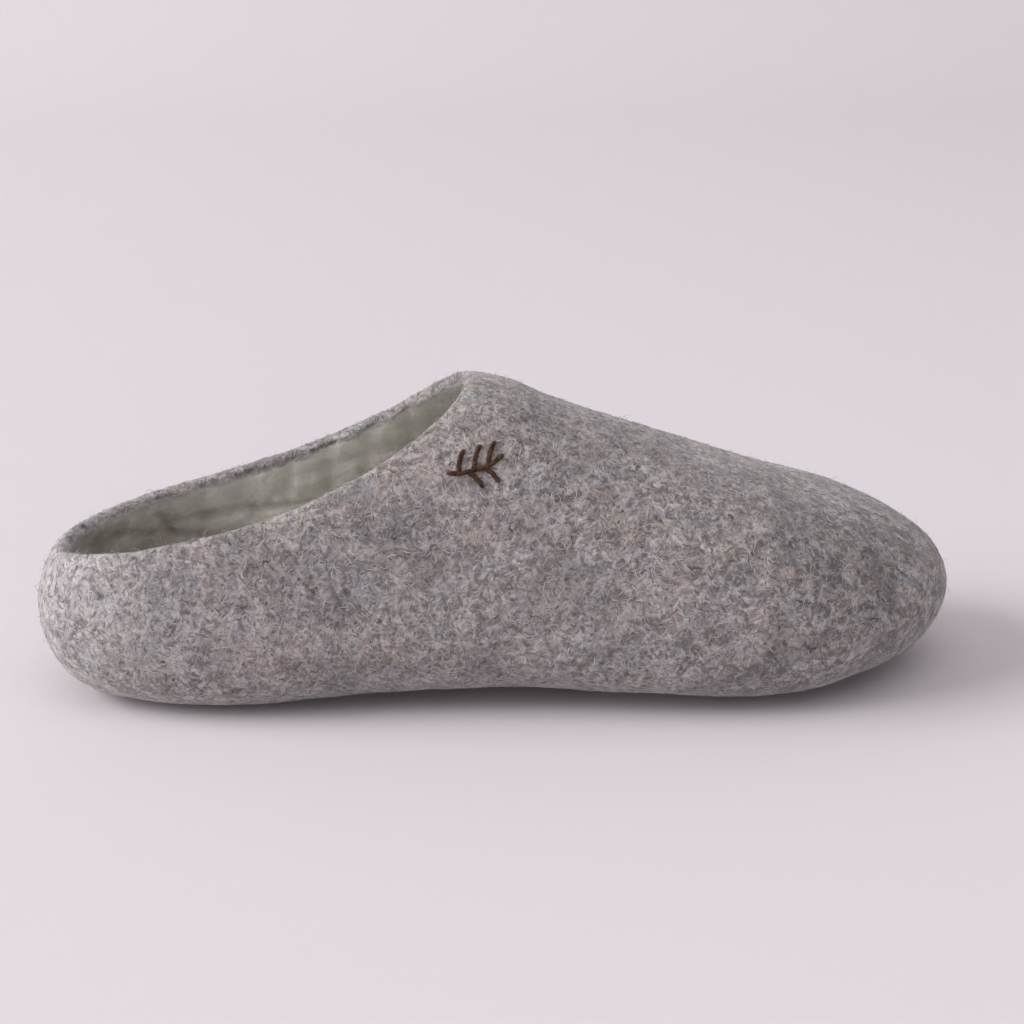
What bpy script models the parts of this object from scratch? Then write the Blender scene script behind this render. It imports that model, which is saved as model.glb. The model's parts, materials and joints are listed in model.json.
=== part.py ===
"""A felt house slipper with a low heel, wet-felted round a last, with a felt sole and a loose felt insole.

The toe points to +X, the outer (lateral) side of this right slipper to -Y, and it stands on z = 0.
All sizes are in metres. The origin is under the middle of the slipper's outside.
"""

import math
from collections import namedtuple

import bmesh
import bpy
import numpy as np

# Driving dimensions of the felt, outside to outside.
LENGTH = 0.270
BALL_WIDTH = 0.097
INSTEP_HEIGHT = 0.0915
HEEL_HEIGHT = 0.0445

# The collar, from its lowest point at the back of the heel up to the throat.
COLLAR_BACK = 0.0085
COLLAR_FRONT = 0.1255
COLLAR_DIP = 0.0095

# Felt thicknesses, the rounding of the collar's rim, and the gap between neighbouring pieces.
WALL = 0.0048
FLOOR = 0.0085
RIM_RISE = 0.0017
INSOLE = 0.0040
FIT_GAP = 0.0003

# The felt thickens from wall to floor where the downward part of its normal is between these.
THICKENS_FROM = 0.25
THICKENS_TO = 0.90

# The sole and the insole end where the felt's outside turns up more steeply than these.
SOLE_SLOPE = math.radians(46)
INSOLE_SLOPE = math.radians(38)

# The insole's edge: its height there and the share of its width over which it rounds to full height.
INSOLE_EDGE = 0.55
INSOLE_ROUND = 0.06

# The last, a row for each section from heel to toe.
#   along   distance from the heel, as a share of the length
#   width   full width, as a share of the ball width
#   swing   sideways offset of its middle towards the inner side, as a share of the ball width
#   belly   height of its widest line, as a share of the instep height
#   top     height of its ridge, as a share of the instep height, closed over behind the throat
#   under   height of its underside, as a share of the instep height, below 0 where it is pressed flat
#   crown   roundness of the upper half, 2 is an ellipse and more is squarer
#   edge    the same for the lower half
Section = namedtuple("Section", "along width swing belly top under crown edge")
LAST = (
    Section(0.000, 0.000, 0.000, 0.290, 0.290, 0.290, 2.0, 2.2),
    Section(0.035, 0.440, 0.000, 0.292, 0.535, 0.055, 2.1, 2.3),
    Section(0.110, 0.670, 0.000, 0.300, 0.740, 0.000, 2.0, 2.7),
    Section(0.205, 0.745, 0.000, 0.310, 0.880, -0.009, 2.0, 3.1),
    Section(0.380, 0.775, 0.005, 0.320, 0.995, 0.018, 2.0, 2.9),
    Section(0.465, 0.815, 0.005, 0.320, 1.000, 0.026, 2.1, 2.8),
    Section(0.560, 0.890, 0.010, 0.315, 0.900, 0.018, 2.1, 2.8),
    Section(0.680, 0.965, 0.010, 0.300, 0.765, 0.000, 2.1, 3.1),
    Section(0.770, 1.000, 0.020, 0.290, 0.670, -0.009, 2.1, 3.1),
    Section(0.880, 0.885, 0.055, 0.290, 0.560, 0.018, 2.1, 2.6),
    Section(0.960, 0.570, 0.080, 0.290, 0.440, 0.085, 2.1, 2.3),
    Section(1.000, 0.000, 0.090, 0.290, 0.290, 0.290, 2.0, 2.2),
)

# Lines of sight for meshing start on a spine inside the foot. Round its two ends the mesh fans out,
# and for the first part of each fan it turns on the spot.
SPINE_BACK = 0.034
SPINE_FRONT = 0.219
SPINE_HEIGHT = 0.027
HEEL_FAN = 0.26
TOE_FAN = 0.36
FAN_ON_SPOT = 0.6

# Mesh divisions: columns from heel to toe down one side, and rows for each surface.
COLUMNS = 40
UPPER_OUTSIDE_ROWS = 18
UPPER_INSIDE_ROWS = 15
RIM_ROWS = 4
SOLE_ROWS = 8
INSOLE_ROWS = 9
INSOLE_CROWDING = 1.6

# Plain colours and roughness of the two felts.
GREY = (0.25, 0.23, 0.23)
GREEN = (0.34, 0.37, 0.31)
ROUGHNESS = 0.95

# Fineness of the workings: steps along a line of sight and round its sweep, halvings when a place is
# searched for, samples of an easing and of a column, and how widely each is averaged.
CAST_STEPS = 136
SWEEP_STEPS = 121
HALVINGS = 40
EASE_SAMPLES = 2001
EASE_WIDTH = 201
COLUMN_SAMPLES = 161
COLUMN_WIDTH = 11


def spread(along):
    """Even steps of this measure crowd towards both ends, so the heel and toe close round."""
    return np.arccos(np.clip(1 - 2 * np.asarray(along, dtype=float), -1, 1)) / math.pi


def curve_through(at, knots, values):
    """Smooth curve through the table's values that stays level at a peak or a dip."""
    step = np.diff(knots)
    slope = np.diff(values) / step
    lean = np.zeros(len(knots))
    lean[1:-1] = (slope[:-1] * step[1:] + slope[1:] * step[:-1]) / (step[:-1] + step[1:])
    lean[1:-1][slope[:-1] * slope[1:] <= 0] = 0
    lean[0], lean[-1] = slope[0], slope[-1]
    i = np.clip(np.searchsorted(knots, at, side="right") - 1, 0, len(step) - 1)
    t = (at - knots[i]) / step[i]
    start = (1 + 2 * t) * (1 - t) ** 2 * values[i] + t * (1 - t) ** 2 * step[i] * lean[i]
    end = t * t * (3 - 2 * t) * values[i + 1] + t * t * (t - 1) * step[i] * lean[i + 1]
    return start + end


def table_sizes():
    """The table's columns in metres, and the measure that they are spaced by."""
    scale = {"width": BALL_WIDTH, "swing": BALL_WIDTH, "belly": INSTEP_HEIGHT, "top": INSTEP_HEIGHT,
             "under": INSTEP_HEIGHT}
    sizes = {}
    for name in Section._fields:
        sizes[name] = np.array([getattr(row, name) for row in LAST]) * scale.get(name, 1.0)
    return spread(sizes["along"]), sizes


KNOTS, SIZES = table_sizes()


def size_at(name, x):
    return curve_through(spread(np.clip(x / LENGTH, 0, 1)), KNOTS, SIZES[name])


def fullness(points):
    """Below 1 inside the closed last, above 1 outside it."""
    x = points[..., 0]
    half = np.maximum(size_at("width", x) / 2, 1e-6)
    belly = size_at("belly", x)
    rise = points[..., 2] - belly
    above = rise > 0
    tall = np.maximum(np.where(above, size_at("top", x) - belly, belly - size_at("under", x)), 1e-6)
    power = np.where(above, size_at("crown", x), size_at("edge", x))
    q = (np.abs(points[..., 1] - size_at("swing", x)) / half) ** power + (np.abs(rise) / tall) ** power
    return np.where((x < 0) | (x > LENGTH), 9.0, q)


def cast(origins, directions):
    """Where lines that start inside the last first leave it."""
    steps = np.linspace(0, LENGTH, CAST_STEPS)
    trail = origins[..., None, :] + directions[..., None, :] * steps[:, None]
    first = np.argmax(fullness(trail) >= 1, axis=-1)
    near, far = steps[first - 1], steps[first]
    for _ in range(HALVINGS):
        middle = (near + far) / 2
        inside = fullness(origins + directions * middle[..., None]) < 1
        near = np.where(inside, middle, near)
        far = np.where(inside, far, middle)
    return origins + directions * ((near + far) / 2)[..., None]


def unit(vectors):
    return vectors / np.maximum(np.linalg.norm(vectors, axis=-1, keepdims=True), 1e-12)


def collar_height(x):
    """Side view of the collar: a line from heel to throat, with a dip that is deepest ahead of its middle."""
    share = (x - COLLAR_BACK) / (COLLAR_FRONT - COLLAR_BACK)
    throat = float(size_at("top", np.array(COLLAR_FRONT)))
    dip = COLLAR_DIP * 4 * share * (1 - share) * (0.5 + share)
    return HEEL_HEIGHT + (throat - HEEL_HEIGHT) * share - dip


def collar_end(low, high):
    """Where the collar's line meets the last's ridge, between two distances from the heel."""
    for _ in range(HALVINGS):
        middle = (low + high) / 2
        above = float(size_at("top", np.array(middle))) > collar_height(middle)
        low, high = (low, middle) if above else (middle, high)
    return (low + high) / 2


def collar_point(share, side):
    """Points on the last along the collar, from the heel at 0 to the throat at 1."""
    back = collar_end(0.001, 0.03)
    x = back + (COLLAR_FRONT - back) * (1 - np.cos(np.pi * share)) / 2
    z = collar_height(x)
    belly, top, crown = size_at("belly", x), size_at("top", x), size_at("crown", x)
    high = np.clip((z - belly) / (top - belly), 0, 1)
    out = (1 - high ** crown) ** (1 / crown) * size_at("width", x) / 2
    return np.stack([x, size_at("swing", x) + side * out, z], -1)


def eased(fold, rate):
    """Running total of a rate along the side, softened where the rate changes, from 0 to 1."""
    fine = np.linspace(0, 1, EASE_SAMPLES)
    window = np.ones(EASE_WIDTH) / EASE_WIDTH
    soft = np.convolve(np.pad(rate(fine).astype(float), EASE_WIDTH // 2, mode="edge"), window, mode="valid")
    total = np.concatenate([[0], np.cumsum((soft[1:] + soft[:-1]) / 2)])
    return np.interp(fold, fine, total / total[-1])


def outside_grid():
    """The outside of the felt: closed loops of columns, and rows from the collar to the sole's middle."""
    turn = np.arange(2 * COLUMNS) / COLUMNS
    fold = np.where(turn <= 1, turn, 2 - turn)
    side = np.where(turn <= 1, -1.0, 1.0)
    bearing = math.pi * eased(fold, lambda f: np.where(f < HEEL_FAN, 1 / HEEL_FAN, 0)
                              + np.where(f > 1 - TOE_FAN, 1 / TOE_FAN, 0))
    go = eased(fold, lambda f: (f > HEEL_FAN * FAN_ON_SPOT) & (f < 1 - TOE_FAN * FAN_ON_SPOT))
    out = np.stack([-np.cos(bearing), side * np.sin(bearing), 0 * bearing], -1)
    x = SPINE_BACK + (SPINE_FRONT - SPINE_BACK) * go
    spine = np.stack([x, size_at("swing", x), np.full_like(x, SPINE_HEIGHT)], -1)
    collar = collar_point(fold, side)
    t = np.linspace(0, 1, SWEEP_STEPS)[None, :, None]
    sight = (1 - t) ** 2 * unit(collar - spine)[:, None] + 2 * t * (1 - t) * out[:, None]
    sight = unit(sight + t ** 2 * np.array([0, 0, -1.0]))
    dense = cast(np.broadcast_to(spine[:, None], sight.shape), sight)
    gone = np.linalg.norm(np.diff(dense, axis=1), axis=-1).cumsum(1)
    gone = np.concatenate([np.zeros((len(turn), 1)), gone], 1)
    return dense, gone / gone[:, -1:]


def resample(dense, gone, shares):
    """Rows of the grid at the given shares of the way down, one share or one list for each column."""
    shares = np.broadcast_to(shares, (len(dense), np.shape(shares)[-1]))
    rows = [[np.interp(shares[i], gone[i], dense[i, :, k]) for k in range(3)] for i in range(len(dense))]
    return np.array(rows).transpose(0, 2, 1)


def normals_of(points):
    """Outward normals of the last's surface, from how its fullness changes."""
    tiny = 2e-5
    slope = [fullness(points + tiny * axis) - fullness(points - tiny * axis) for axis in np.eye(3)]
    return unit(np.stack(slope, -1))


def felt_depth(normals):
    """The felt is thin on the sides and thick underfoot."""
    down = np.clip((-normals[..., 2] - THICKENS_FROM) / (THICKENS_TO - THICKENS_FROM), 0, 1)
    return WALL + (FLOOR - WALL) * down * down * (3 - 2 * down)


def pressed(points):
    """Flatten what would be below the ground, so the heel and the ball stand on flat spots."""
    flat = points.copy()
    flat[..., 2] = np.maximum(flat[..., 2], 0)
    return flat


def lined_up(points, normals, extra):
    """The inside surface of the felt, set in from the outside by its thickness and an extra gap."""
    return points - normals * (felt_depth(normals) + extra)[..., None]


def ring_faces(columns, first, second):
    """Quads between two rings of vertices that start at the given numbers."""
    after = [(i + 1) % columns for i in range(columns)]
    return [(first + i, first + after[i], second + after[i], second + i) for i in range(columns)]


def skin(name, rows, colour, roughness, band=False):
    """One closed solid from a list of vertex rings.

    The first and last rings are joined to each other for a band, and each folds shut by merging otherwise.
    """
    columns = len(rows[0])
    mesh = bpy.data.meshes.new(name)
    faces = []
    for r in range(len(rows) - 1):
        faces += ring_faces(columns, r * columns, (r + 1) * columns)
    if band:
        faces += ring_faces(columns, (len(rows) - 1) * columns, 0)
    mesh.from_pydata([tuple(p) for row in rows for p in row], [], faces)
    work = bmesh.new()
    work.from_mesh(mesh)
    bmesh.ops.remove_doubles(work, verts=work.verts, dist=1e-5)
    bmesh.ops.dissolve_degenerate(work, edges=work.edges, dist=1e-6)
    bmesh.ops.triangulate(work, faces=work.faces)
    bmesh.ops.recalc_face_normals(work, faces=work.faces)
    for face in work.faces:
        face.smooth = True
    work.to_mesh(mesh)
    work.free()
    part = bpy.data.objects.new(name, mesh)
    bpy.context.scene.collection.objects.link(part)
    material = bpy.data.materials.new(name)
    material.use_nodes = True
    shader = material.node_tree.nodes["Principled BSDF"]
    shader.inputs["Base Color"].default_value = (*colour, 1)
    shader.inputs["Roughness"].default_value = roughness
    mesh.materials.append(material)
    return part


def rings(grid):
    return [grid[:, r] for r in range(grid.shape[1])]


def turns_under(dense, gone, slope):
    """How far down each column the outside has turned under to the slope, averaged over its neighbours."""
    shares = np.linspace(0, 1, COLUMN_SAMPLES)
    flat = -normals_of(resample(dense, gone, shares))[..., 2] > math.cos(slope)
    start = np.array([shares[np.argmax(column)] for column in flat])
    reach = COLUMN_WIDTH // 2
    padded = np.concatenate([start[-reach:], start, start[:reach]])
    return np.convolve(padded, np.ones(COLUMN_WIDTH) / COLUMN_WIDTH, mode="valid")[:, None]


def cut_gap(dense, gone, cut):
    """Half of the gap at the cut between upper and sole, as a step down the outside in each column."""
    near = 1 / SWEEP_STEPS
    ends = resample(dense, gone, np.concatenate([cut - near, cut + near], 1))
    return unit(ends[:, 1] - ends[:, 0]) * FIT_GAP / 2


def rim_rings(edge, below):
    """Rings over the rounded rim, from the inside of the wall to its outside."""
    normal = normals_of(edge)
    along = np.roll(edge, -1, 0) - np.roll(edge, 1, 0)
    up = unit(np.cross(along, normal))
    up *= np.sign(np.sum(up * (edge - below), -1, keepdims=True))
    rim = []
    for k in range(1, RIM_ROWS):
        angle = math.pi * k / RIM_ROWS
        depth = (1 + math.cos(angle)) / 2 * WALL
        rim.append(edge - normal * depth + up * RIM_RISE * math.sin(angle))
    return rim


def upper_rings(dense, gone, cut, shift):
    """Rings of the upper: up its inside from the cut, over the rim, and down its outside to the cut."""
    outer = resample(dense, gone, cut * np.linspace(0, 1, UPPER_OUTSIDE_ROWS))
    under = resample(dense, gone, cut * np.linspace(0, 1, UPPER_INSIDE_ROWS))
    inner = lined_up(under, normals_of(under), 0)
    rim = rim_rings(outer[:, 0], outer[:, 1])
    step = cut_gap(dense, gone, cut)
    outer[:, -1] -= step
    inner[:, -1] -= step
    return [row + shift for row in rings(inner)[::-1] + rim + rings(pressed(outer))]


def sole_rings(dense, gone, cut, shift):
    """Rings of the sole: out over its inside from the middle to the cut, and back along its underside."""
    outer = resample(dense, gone, cut + (1 - cut) * np.linspace(0, 1, SOLE_ROWS))
    inner = lined_up(outer, normals_of(outer), 0)
    step = cut_gap(dense, gone, cut)
    outer[:, 0] += step
    inner[:, 0] += step
    return [row + shift for row in rings(inner)[::-1] + rings(pressed(outer))]


def insole_rings(dense, gone, shift):
    """Rings of the insole: out along its underside, up its edge, and back over its rounded top."""
    start = turns_under(dense, gone, INSOLE_SLOPE)
    steps = np.linspace(0, 1, INSOLE_ROWS) ** INSOLE_CROWDING
    under = resample(dense, gone, start + (1 - start) * steps)
    under = lined_up(under, normals_of(under), FIT_GAP)
    soft = np.sqrt(1 - (1 - np.clip(steps / INSOLE_ROUND, 0, 1)) ** 2)
    over = under.copy()
    over[..., 2] += INSOLE * (INSOLE_EDGE + (1 - INSOLE_EDGE) * soft)
    return [row + shift for row in rings(under)[::-1] + rings(over)]


def build():
    for old in list(bpy.data.objects):
        bpy.data.objects.remove(old)
    dense, gone = outside_grid()
    cut = turns_under(dense, gone, SOLE_SLOPE)
    low, high = dense.min((0, 1)), dense.max((0, 1))
    shift = np.array([-(low[0] + high[0]) / 2, -(low[1] + high[1]) / 2, 0])
    skin("felt_upper", upper_rings(dense, gone, cut, shift), GREY, ROUGHNESS, band=True)
    skin("felt_sole", sole_rings(dense, gone, cut, shift), GREY, ROUGHNESS)
    skin("felt_insole", insole_rings(dense, gone, shift), GREEN, ROUGHNESS)


build()
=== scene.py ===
"""Looks of a wet-felted house slipper: grey marl wool outside, pale green wool inside.

Everything is in metres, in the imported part's own frame. The toe points to +X, the side that faces the
camera is -Y, and the slipper stands on z = 0.
"""

import json
import math
import random
from collections import namedtuple

import bmesh
import bpy
import numpy as np
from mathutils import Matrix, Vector, noise
from mathutils.bvhtree import BVHTree
from mathutils.kdtree import KDTree

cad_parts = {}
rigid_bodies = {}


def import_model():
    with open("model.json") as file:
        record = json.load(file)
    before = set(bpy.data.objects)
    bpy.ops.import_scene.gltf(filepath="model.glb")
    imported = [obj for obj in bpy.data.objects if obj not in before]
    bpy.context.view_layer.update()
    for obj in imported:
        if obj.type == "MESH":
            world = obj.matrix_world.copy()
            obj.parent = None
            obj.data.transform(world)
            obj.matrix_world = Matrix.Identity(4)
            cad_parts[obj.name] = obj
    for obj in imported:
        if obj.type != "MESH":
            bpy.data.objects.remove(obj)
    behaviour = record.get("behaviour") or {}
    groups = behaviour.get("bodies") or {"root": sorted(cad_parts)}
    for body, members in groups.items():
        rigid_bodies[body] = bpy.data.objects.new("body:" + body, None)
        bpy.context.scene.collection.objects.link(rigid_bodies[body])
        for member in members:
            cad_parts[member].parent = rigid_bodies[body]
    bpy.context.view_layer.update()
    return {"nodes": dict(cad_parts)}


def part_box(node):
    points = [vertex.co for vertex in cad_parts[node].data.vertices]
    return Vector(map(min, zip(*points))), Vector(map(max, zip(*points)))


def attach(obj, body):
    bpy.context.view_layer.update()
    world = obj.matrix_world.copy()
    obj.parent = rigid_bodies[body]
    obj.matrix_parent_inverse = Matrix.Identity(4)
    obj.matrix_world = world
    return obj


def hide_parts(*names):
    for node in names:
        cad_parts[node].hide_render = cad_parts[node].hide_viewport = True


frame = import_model()

UPPER_NODE = "felt_upper"
SOLE_NODE = "felt_sole"
INSOLE_NODE = "felt_insole"
HEEL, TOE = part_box(UPPER_NODE)[0][0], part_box(UPPER_NODE)[1][0]
LENGTH = TOE - HEEL
# The gap in the CAD between upper and sole, which are felted together.
FELTED_GAP = 0.00045

# A line inside the foot space that every wall faces, for telling the felt's inside from its outside.
SPINE_BACK = HEEL + 0.13 * LENGTH
SPINE_FRONT = TOE - 0.19 * LENGTH
SPINE_HEIGHT = 0.027

# The camera stands where the photograph was taken from, worked out from the slipper's outline.
CAMERA_DISTANCE = 0.62
CAMERA_HEIGHT = 0.256
CAMERA_AZIMUTH = math.radians(-5.0)
CAMERA_LENS = 78.9
AIM = Vector((0.0026, 0.0, 0.049))

# The stitched sprig beside the throat: its middle.
MARK_FROM_HEEL = 0.1245
MARK_HEIGHT = 0.0735

# Its thread: the radius, the steps along a stitch, and a stitch's rise and dive at its ends, in radii.
THREAD_RADIUS = 0.00060
STITCH_STEPS = 12
THREAD_RISE, THREAD_DIVE = 1.5, 0.7

# How the CAD's loose triangles are merged, and then paired into quads before they are smoothed.
MERGE_DISTANCE = 1e-5
QUAD_FACE_ANGLE, QUAD_SHAPE_ANGLE = 0.9, 1.4

# Soft steps, each from where something is absent to where it is full: along the slipper from the heel,
# up from the floor, or down from the upper edge.
DUSKY_FROM_HEEL = (0.160, 0.250)
# Where the heel's frosty tufts are painted: paler fibres, and painted light on the heel end that faces the
# window lamp.
LIT_FROST_FROM_HEEL, LIT_FROST_HEIGHT = (0.062, 0.006), (0.012, 0.036)
# Where the lining is painted brown round the heel: rubbed wear, and painted shade deep in the heel cup.
WORN_AND_SHADED_FROM_HEEL, WORN_AND_SHADED_HEIGHT = (0.078, 0.022), (0.056, 0.024)
# Where the footbed is painted brown under the heel: rubbed wear, and painted shade in the heel cup.
INSOLE_WORN_AND_SHADED_FROM_HEEL = (0.090, 0.040)
LINED_BELOW_RIM = (0.0010, 0.0050)
# Where the lining is painted paler just below the rim: painted light on the upper inner wall.
LIT_BELOW_RIM = (0.020, 0.004)
UNEVEN_HEIGHT = (0.0002, 0.0030)
FIBRES_HEIGHT, NAP_HEIGHT, HAIRS_HEIGHT = (0.0008, 0.0030), (0.003, 0.008), (0.008, 0.018)
# The height at which the fibres stop being combed level, as they are along the low edge.
COMBED_UP_TO = (0.010, 0.026)
# The depth of a fold at which the painted shade in the lining is darkest.
DARKEST_FOLD = 0.0013
# A noise texture's blobs, as a share of its period.
BLOB = 0.6


class Socket:
    """A shader value that arithmetic can be written with."""

    def __init__(self, looks, socket):
        self.looks = looks
        self.socket = socket

    def math(self, operation, first, second=None, clamp=False):
        values = {0: first} if second is None else {0: first, 1: second}
        return self.looks.add("ShaderNodeMath", {"operation": operation, "use_clamp": clamp}, values)

    def __add__(self, other):
        return self.math("ADD", self, other)

    def __sub__(self, other):
        return self.math("SUBTRACT", self, other)

    def __rsub__(self, other):
        return self.math("SUBTRACT", other, self)

    def __mul__(self, other):
        return self.math("MULTIPLY", self, other)

    def __pow__(self, other):
        return self.math("POWER", self, other)

    def clamped(self):
        return self.math("ADD", self, 0.0, clamp=True)


class Looks:
    """A material under construction."""

    def __init__(self, name):
        self.material = bpy.data.materials.new(name)
        self.material.use_nodes = True
        self.tree = self.material.node_tree
        self.shader = self.tree.nodes["Principled BSDF"]
        self.place = self.add("ShaderNodeTexCoord", {}, {}, "Object")

    def add(self, kind, settings, inputs, output=0):
        """A node with its settings, then its inputs by name or number as values or sockets."""
        node = self.tree.nodes.new(kind)
        for key, value in settings.items():
            if key == "stops":
                self.set_stops(node.color_ramp, value)
            else:
                setattr(node, key, value)
        for key, value in inputs.items():
            self.feed(node.inputs[key], value)
        return Socket(self, node.outputs[output])

    def set_stops(self, ramp, stops):
        while len(ramp.elements) < len(stops):
            ramp.elements.new(0.5)
        for element, (position, colour) in zip(ramp.elements, stops):
            element.position = position
            element.color = (*colour, 1)

    def feed(self, target, value):
        if isinstance(value, Socket):
            self.tree.links.new(value.socket, target)
        elif isinstance(value, tuple) and len(value) == 3 and target.type == "RGBA":
            target.default_value = (*value, 1)
        else:
            target.default_value = value

    def noise(self, size, detail=3.0, roughness=0.55, twist=0.0, place=None):
        """Soft noise from 0 to 1 whose blobs are about the given size in metres."""
        inputs = {"Vector": place or self.place, "Scale": BLOB / size, "Detail": detail}
        inputs.update({"Roughness": roughness, "Distortion": twist})
        return self.add("ShaderNodeTexNoise", {}, inputs)

    def turned(self, turn, longer=(1.0, 1.0, 1.0), place=None):
        """Object coordinates turned, and then drawn out along their new axes, for grain that runs one way."""
        inputs = {"Vector": place or self.place, "Rotation": turn, "Scale": longer}
        return self.add("ShaderNodeMapping", {"vector_type": "TEXTURE"}, inputs)

    def shaken(self, amount, size):
        """Object coordinates pushed about by noise, so that grain curls."""
        inputs = {"Vector": self.place, "Scale": BLOB / size, "Detail": 2.0}
        shake = self.add("ShaderNodeTexNoise", {}, inputs, "Color")
        centred = self.add("ShaderNodeVectorMath", {"operation": "SUBTRACT"}, {0: shake, 1: (0.5, 0.5, 0.5)})
        scaled = self.add("ShaderNodeVectorMath", {"operation": "SCALE"}, {0: centred, "Scale": amount})
        return self.add("ShaderNodeVectorMath", {"operation": "ADD"}, {0: self.place, 1: scaled})

    def attribute(self, name):
        return self.add("ShaderNodeAttribute", {"attribute_name": name}, {}, "Fac")

    def between(self, value, low, high):
        """0 below low, 1 above high, and smooth between them."""
        inputs = {"Value": value, "From Min": low, "From Max": high}
        return self.add("ShaderNodeMapRange", {"interpolation_type": "SMOOTHSTEP"}, inputs)

    def mix(self, factor, first, second):
        return self.add("ShaderNodeMix", {"data_type": "RGBA"}, {0: factor, 6: first, 7: second}, 2)

    def bump(self, height, distance, strength=1.0):
        inputs = {"Height": height, "Distance": distance, "Strength": strength}
        return self.add("ShaderNodeBump", {}, inputs, "Normal")

    def finish(self, **inputs):
        """The material, once the shader's own inputs are set."""
        for name, value in inputs.items():
            self.feed(self.shader.inputs[name.replace("_", " ")], value)
        return self.material


# Wool colours, as linear light.
ASH = (0.292, 0.264, 0.263)
PALE = (0.600, 0.560, 0.556)
SLATE = (0.095, 0.092, 0.102)
DUSK = (0.085, 0.072, 0.070)
UMBER = (0.180, 0.140, 0.118)
SAND = (0.345, 0.292, 0.265)
BLUISH = (0.262, 0.270, 0.295)
SAGE = (0.680, 0.668, 0.610)
SAGE_PALE = (0.780, 0.775, 0.720)
SAGE_DEEP = (0.420, 0.405, 0.345)
# The brown of rubbed wear and of painted shade inside the heel.
HEEL_BROWN_SHADE = (0.300, 0.265, 0.225)
FLECK = (0.055, 0.040, 0.031)
# A pale frost, used as painted light on the heel end and as a painted highlight along the rim.
FROST_HIGHLIGHT = (0.560, 0.545, 0.575)
THREAD_DARK = (0.020, 0.010, 0.006)
THREAD_LIGHT = (0.090, 0.042, 0.020)
CLOTH = (0.69, 0.650, 0.684)
# Loose fibres: the colours that each kind runs through, and where on the way each of them stands.
FIBRE_TINTS = {
    "pale_fibre": ((0.0, (0.36, 0.335, 0.33)), (0.7, (0.47, 0.44, 0.435)), (1.0, (0.66, 0.63, 0.63))),
    "dark_fibre": ((0.0, (0.050, 0.044, 0.046)), (0.5, (0.12, 0.104, 0.104)), (1.0, (0.17, 0.13, 0.105))),
    "mixed_fibre": ((0.0, (0.24, 0.22, 0.22)), (0.5, (0.36, 0.31, 0.285)), (1.0, (0.37, 0.38, 0.41))),
    "green_fibre": ((0.0, SAGE), (0.5, SAGE_PALE), (1.0, (0.72, 0.73, 0.66))),
    "straying_fibre": ((0.0, (0.17, 0.15, 0.15)), (0.4, (0.38, 0.36, 0.36)), (1.0, (0.66, 0.64, 0.64))),
    "thread_wisp": ((0.0, (0.030, 0.014, 0.008)), (0.5, (0.10, 0.050, 0.024)), (1.0, (0.19, 0.10, 0.05))),
}

# A drawn fibre's length along X and its breadth the other ways, in its own thicknesses, and the slants
# at which dark and pale ones lie, as turns about Y and Z.
FIBRE_SHAPE = (7.0, 3.0, 1.0)
DARK_SLANTS = ((0.3, 0.0), (1.3, 0.7), (2.4, -0.7))
PALE_SLANTS = ((0.9, -0.6), (1.9, 0.0), (2.9, 0.6))


def times(factor, colour):
    """The colour made lighter or darker."""
    return tuple(factor * channel for channel in colour)


def swirls(looks, size, lines, place, sharp):
    """Thin curling lines, like loose loops of wool, that follow the level lines of a noise."""
    level = looks.noise(size, detail=1.0, roughness=0.5, twist=0.7, place=place)
    wave = level.math("SINE", level * (lines * 2 * math.pi))
    return wave.clamped() ** sharp


def laid_fibres(looks, size, slants, low, high, curled):
    """Fine fibres, several times as long as they are thick, that lie at a few slants."""
    lines = 0.0
    for slant in slants:
        place = looks.turned((0.0, *slant), FIBRE_SHAPE, curled)
        fibre = looks.between(looks.noise(size, detail=1.0, roughness=0.4, place=place), low, high)
        lines = fibre.math("MAXIMUM", fibre, lines)
    return lines


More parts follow.
